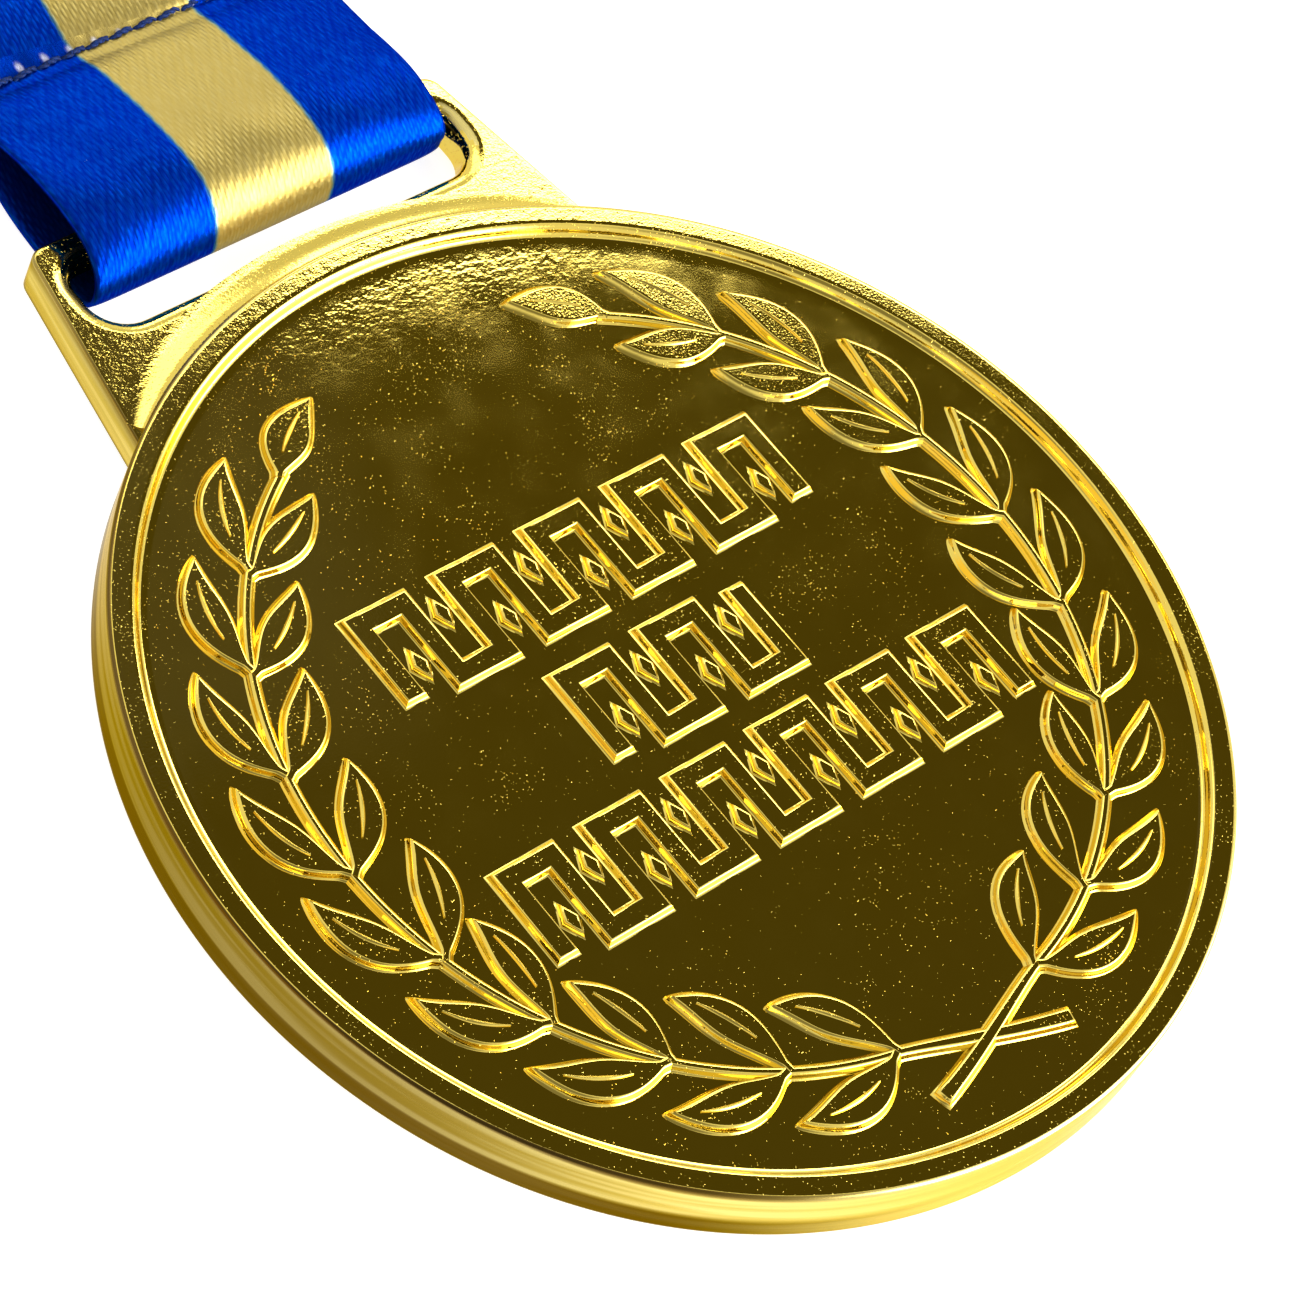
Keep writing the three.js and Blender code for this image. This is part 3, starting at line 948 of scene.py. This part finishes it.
# ---- Seam threads ----------------------------------------------------------------------------

def tube(shell, path, radius, sides=8):
    points = [Vector(p) for p in path]
    rings = []
    for i, point in enumerate(points):
        ahead = (points[min(i + 1, len(points) - 1)] - points[max(i - 1, 0)]).normalized()
        side = ahead.cross(Vector((0, 0, 1))).normalized()
        over = side.cross(ahead)
        rings.append(shell.ring([point + (side * math.cos(t) + over * math.sin(t)) * radius
                                 for t in (2 * math.pi * k / sides for k in range(sides))]))
    shell.skin(rings)


def make_stitches(name, level, sense, material):
    """One row of lockstitch: each stitch is a two-ply twist that rises from one needle hole, lies
    a little askew on the ribbon and dives into the next."""
    shell = Shell()
    for number in range(STITCHES):
        start = FIRST_STITCH_X + number * STITCH
        for ply in (0, 1):
            path = []
            for k in range(25):
                share = k / 24
                x = start + share * STITCH * 0.98
                arch = math.sin(math.pi * share) ** 0.55
                twist = 2 * math.pi * (share * 1.6 + ply * 0.5)
                path.append((
                    x,
                    SEAM_Y + 0.2 * (share - 0.5) + 0.08 * math.cos(twist),
                    level + sense * (0.26 * arch - 0.20) + 0.07 * math.sin(twist),
                ))
            tube(shell, path, THREAD_R)
    return add_mesh(name, shell.vertices, shell.faces, material, sharp=0)


# ---- Paper band ------------------------------------------------------------------------------

def make_tie(material):
    """A paper belly band wrapped round the hank, with its end lapped over on top."""
    half_x = 12.95
    low, high = 0.12, 7.9
    corner = 1.3
    corners = [(0.0, high), (half_x, high), (half_x, low), (-half_x, low), (-half_x, high), (5.0, high)]
    path = [(-3.5, high)]
    for i in range(1, 5):
        x, z = corners[i]
        into = Vector((x - corners[i - 1][0], z - corners[i - 1][1])).normalized()
        out = Vector((corners[i + 1][0] - x, corners[i + 1][1] - z)).normalized()
        for step in range(7):
            share = step / 6
            a = Vector((x, z)) - into * corner
            c = Vector((x, z)) + out * corner
            point = bezier(a, Vector((x, z)), c, share)
            path.append(tuple(point))
    path += [(-6.5, high + 0.02), (-4.6, high + 0.16), (-3.0, high + 0.2), (1.5, high + 0.2),
             (3.8, high + 0.22)]
    run = np.array(path)
    inner, outer = offset_run(run, -0.07), offset_run(run, 0.07)
    shell = Shell()
    rings = []
    for (xi, zi), (xo, zo) in zip(inner, outer):
        ring = []
        for x, z, ys in ((xi, zi, (-1, 1)), (xo, zo, (1, -1))):
            for y in ys:
                ring.append((x, TIE_Y + y * TIE_W / 2, z))
        rings.append(shell.ring(ring))
    shell.skin(rings)
    return add_mesh("paper_band", shell.vertices, shell.faces, material, sharp=35)


# ---- Stage and light -------------------------------------------------------------------------

def make_floor(material):
    half = 900.0
    floor = add_mesh("floor", [(-half, -half, 0), (half, -half, 0), (half, half, 0), (-half, half, 0)],
                     [(0, 1, 2, 3)], material, sharp=0)
    floor.location.z = -0.02 * MM


def direction(azimuth, elevation):
    a, e = math.radians(azimuth), math.radians(elevation)
    return Vector((math.cos(e) * math.cos(a), math.cos(e) * math.sin(a), math.sin(e)))


def light_tent():
    """A white tent round the medal, as jewellery is lit: even soft light, softboxes overhead and
    low in front, and darker cards that the polished field and the satin mirror."""
    world = bpy.data.worlds.new("tent")
    bpy.context.scene.world = world
    world.use_nodes = True
    tree = world.node_tree
    tree.nodes.clear()
    out = tree.nodes.new("ShaderNodeOutputWorld")
    background = tree.nodes.new("ShaderNodeBackground")
    tree.links.new(background.outputs[0], out.inputs["Surface"])
    look = tree.nodes.new("ShaderNodeTexCoord").outputs["Generated"]

    def aimed(vector):
        node = tree.nodes.new("ShaderNodeVectorMath")
        node.operation = "DOT_PRODUCT"
        tree.links.new(look, node.inputs[0])
        node.inputs[1].default_value = vector
        return node.outputs["Value"]

    def arith(operation, a, b):
        node = tree.nodes.new("ShaderNodeMath")
        node.operation = operation
        for socket, value in zip(node.inputs, (a, b)):
            if isinstance(value, bpy.types.NodeSocket):
                tree.links.new(value, socket)
            else:
                socket.default_value = value
        return node.outputs[0]

    def fade(value, low, high):
        node = tree.nodes.new("ShaderNodeMapRange")
        node.interpolation_type = "SMOOTHSTEP"
        tree.links.new(value, node.inputs["Value"])
        node.inputs["From Min"].default_value = low
        node.inputs["From Max"].default_value = high
        return node.outputs[0]

    def overhead(x_range, y_range, soft, turn=23.3):
        """1 inside a rectangle of a level ceiling turned about +Z, in units of its height."""
        height = arith("MAXIMUM", aimed((0, 0, 1)), 0.02)
        mask = fade(height, 0.02, 0.06)
        c, d = math.cos(math.radians(turn)), math.sin(math.radians(turn))
        for axis, (low, high) in (((c, -d, 0), x_range), ((d, c, 0), y_range)):
            at = arith("DIVIDE", aimed(axis), height)
            mask = arith("MULTIPLY", mask, fade(at, low - soft, low + soft))
            mask = arith("MULTIPLY", mask, fade(at, high + soft, high - soft))
        return mask

    def spot(azimuth, elevation, radius, soft):
        """1 inside a cone of directions."""
        return fade(aimed(direction(azimuth, elevation)),
                    math.cos(math.radians(radius + soft)), math.cos(math.radians(max(radius - soft, 0))))

    def blend(factor, a, b):
        node = tree.nodes.new("ShaderNodeMix")
        node.data_type = "RGBA"
        tree.links.new(factor, node.inputs["Factor"])
        for socket, value in ((node.inputs[6], a), (node.inputs[7], b)):
            if isinstance(value, bpy.types.NodeSocket):
                tree.links.new(value, socket)
            else:
                socket.default_value = value
        return node.outputs[2]

    colour = (1.0, 1.0, 1.0, 1)
    for mask, light in (
        (spot(-155, 51, 34, 14), (0.26, 0.25, 0.23, 1)),                             # dim side
        (spot(163, 22, 20, 14), (1.15, 0.86, 0.22, 1)),                              # warm left
        (overhead((-0.45, 0.3), (0.88, 1.7), 0.04), (3.2, 3.2, 3.0, 1)),             # left softbox
        (overhead((0.3, 1.2), (0.752, 1.15), 0.02), (8.0, 8.0, 7.8, 1)),             # main softbox
        (overhead((0.45, 0.75), (1.7, 3.4), 0.05), (6.0, 6.0, 5.8, 1)),              # far softbox
        (overhead((0.15, 1.0), (0.05, 0.752), 0.012), (0.075, 0.062, 0.01, 1)),      # field's card
        (overhead((0.15, 0.465), (0.6, 0.84), 0.02), (0.09, 0.08, 0.05, 1)),         # its left end
        (overhead((0.32, 0.7), (0.9, 1.4), 0.05), (0.8, 0.8, 0.75, 1)),              # satin's card
        (spot(-52, 12, 30, 10), (12.0, 12.0, 11.8, 1)),                              # low front
    ):
        colour = blend(mask, colour, light)
    tree.links.new(colour, background.inputs["Color"])
    background.inputs["Strength"].default_value = 1.0


# ---- Assembly --------------------------------------------------------------------------------

bpy.context.scene.view_settings.view_transform = "Standard"
make_camera()
light_tent()
make_floor(pale_floor())

field_gold = gold_plate("gold_mirror", 0.03, 0.1)
relief_gold = gold_plate("gold_relief", 0.14, 0.5)
rim_gold = gold_plate("gold_rim", 0.14, 0.6)
cast_gold = gold_plate("gold_cast", 0.25, 0.8)
wall_gold = gold_brushed("gold_brushed", RIM_Z * MM, 0.1, 0.36)
side_gold = gold_brushed("gold_hanger_side", PLATE_Z * MM, 0.4, 0.08)

casting = [
    make_disc(field_gold, rim_gold, wall_gold),
    make_hanger(cast_gold, side_gold),
    make_fillet(cast_gold),
    make_branch(-1, relief_gold),
    make_branch(1, relief_gold),
]
for band, (middle, width, bays) in zip(("upper", "middle", "lower"), FRET_ROWS):
    casting.append(make_fret(f"fret_band_{band}", middle, width, bays, relief_gold))
for piece in casting:
    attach(piece, "medal")
    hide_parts("medal_casting")

ribbon = make_ribbon(satin_ribbon())
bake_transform(ribbon)
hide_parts("ribbon_loop", "neck_ribbon_front_arm", "neck_ribbon_back_arm", "neck_ribbon_hank")

thread = navy_thread()
for name, level, sense, node in (
    ("seam_stitches_front", FRONT_Z + HALF_T, 1, "seam_needle_thread"),
    ("seam_stitches_back", BACK_Z - HALF_T, -1, "seam_bobbin_thread"),
):
    stitches = make_stitches(name, level, sense, thread)
    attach(stitches, "loop")
    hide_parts(node)

band = make_tie(paper_band())
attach(band, "neck_ribbon")
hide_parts("ribbon_tie")
